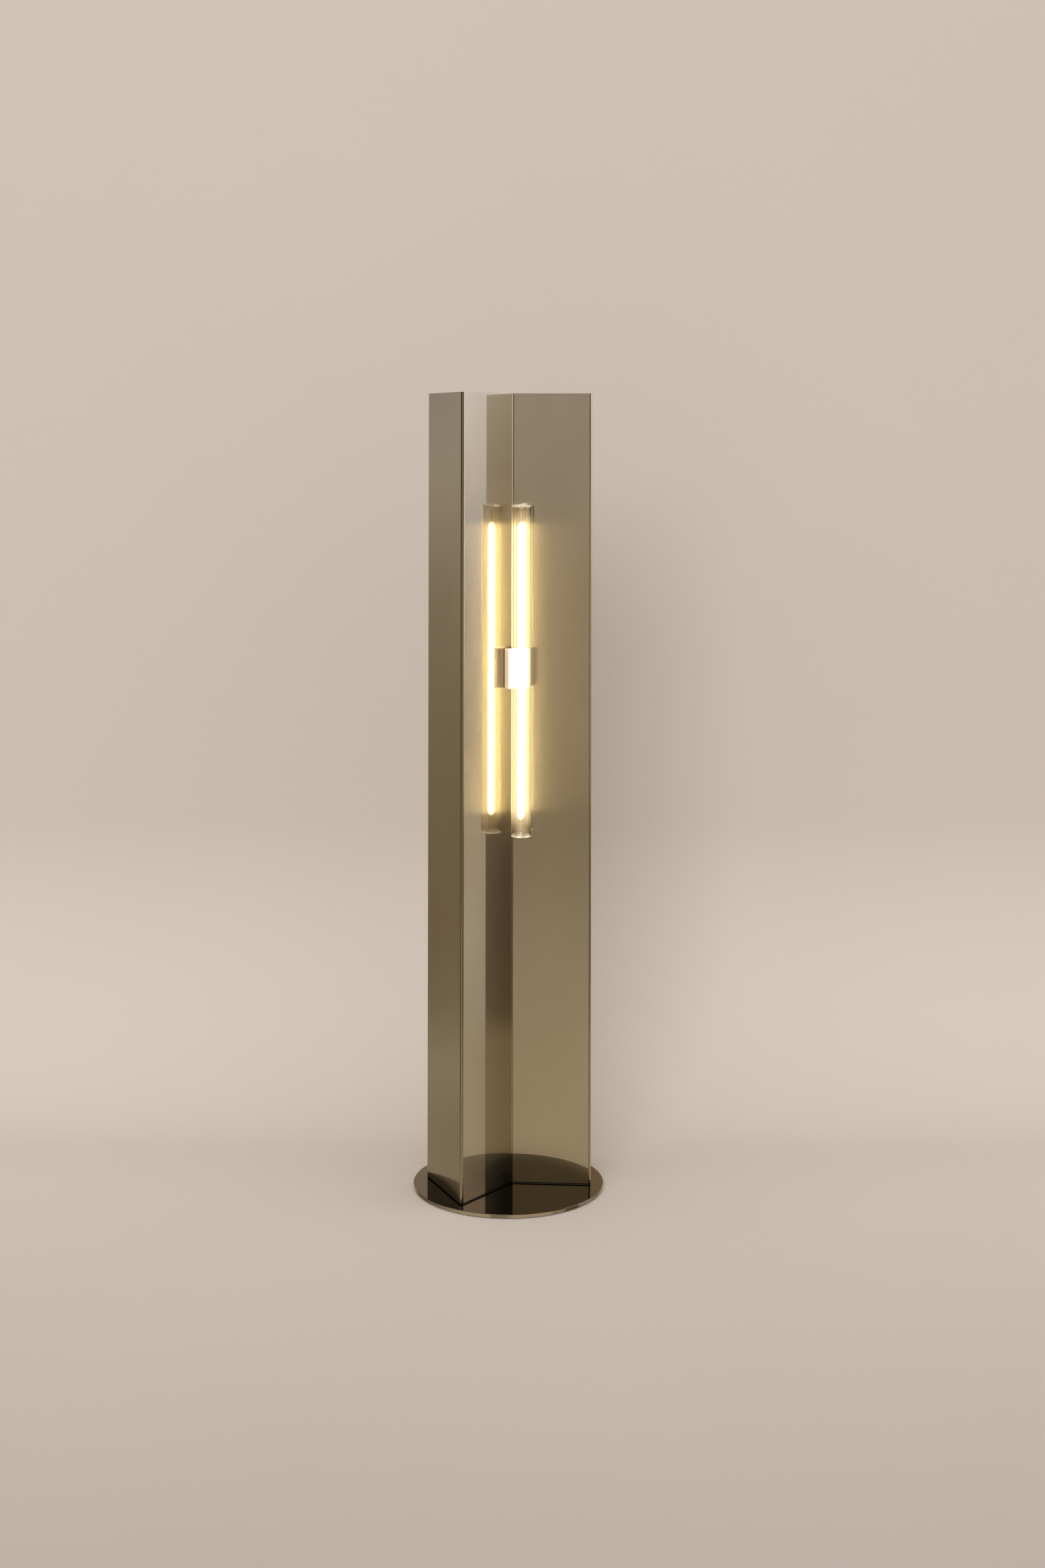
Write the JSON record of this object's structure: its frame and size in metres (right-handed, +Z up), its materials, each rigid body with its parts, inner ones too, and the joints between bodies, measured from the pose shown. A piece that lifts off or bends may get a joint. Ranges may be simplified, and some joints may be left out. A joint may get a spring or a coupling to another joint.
{
  "type": "floor lamp",
  "caption": "Floor lamp: a mirror-finish folded column, hourglass in plan, on a round plate, with a clear tube lamp upright in its front groove",
  "frame": {"origin": "centre of the underside of the base pad, on the floor", "axes": "+Z up along the column, -Y out of the groove that holds the lamp, +X to the right seen from the groove"},
  "size_m": [0.29, 0.29, 1.2115],
  "materials": {
    "pad": "soft black pad",
    "mirror_steel": "mirror-polished, warm grey, with a faint upright grain",
    "satin_metal": "fine satin, pale and slightly pink",
    "dark_mirror": "mirror-polished, darker than the column",
    "screw_steel": "plain machined screws",
    "plain_steel": "plain sheet and plate",
    "brass": "bare contact metal",
    "seal_rubber": "soft black rubber",
    "black_plastic": "fine-grained black",
    "white_plastic": "heat-proof white moulding",
    "opal_plastic": "opal white, lit by the rod",
    "clear_glass": "clear",
    "light_rod": "glowing opal rod",
    "lead_sleeve": "brown sleeve",
    "earth_sleeve": "green and yellow sleeve"
  },
  "bodies": {
    "stand": {"base_pad": "pad", "column_shell": "mirror_steel", "back_cover": "mirror_steel", "top_cap": "mirror_steel", "holder_body": "satin_metal", "base_plate": "dark_mirror", "base_screws": "screw_steel", "cover_screws": "screw_steel", "cap_screws": "screw_steel", "holder_screws": "screw_steel", "terminal_screws": "screw_steel", "earth_bolt": "screw_steel", "foot_plate": "plain_steel", "former_low": "plain_steel", "former_mid": "plain_steel", "former_high": "plain_steel", "former_top": "plain_steel", "cap_carrier": "plain_steel", "clinch_nuts": "plain_steel", "holder_backplate": "plain_steel", "socket_contacts": "brass", "terminal_clamps": "brass", "earth_ring": "brass", "grommets": "seal_rubber", "gland_seal": "seal_rubber", "gland_body": "black_plastic", "gland_cap": "black_plastic", "gland_locknut": "black_plastic", "socket_insert": "white_plastic", "terminal_block": "white_plastic", "inner_leads": "lead_sleeve", "earth_lead": "earth_sleeve"},
    "tube_lamp": {"glass_tube": "clear_glass", "tube_end_upper": "clear_glass", "tube_end_lower": "clear_glass", "led_core": "light_rod", "core_supports": "plain_steel", "lamp_saddle": "opal_plastic", "lamp_cap": "white_plastic", "cap_blades": "brass"}
  },
  "joints": [
    {"name": "lamp_pull", "type": "slide", "parent": "stand", "child": "tube_lamp", "axis": [0, -1, 0], "range_m": [0, 0.025]}
  ]
}
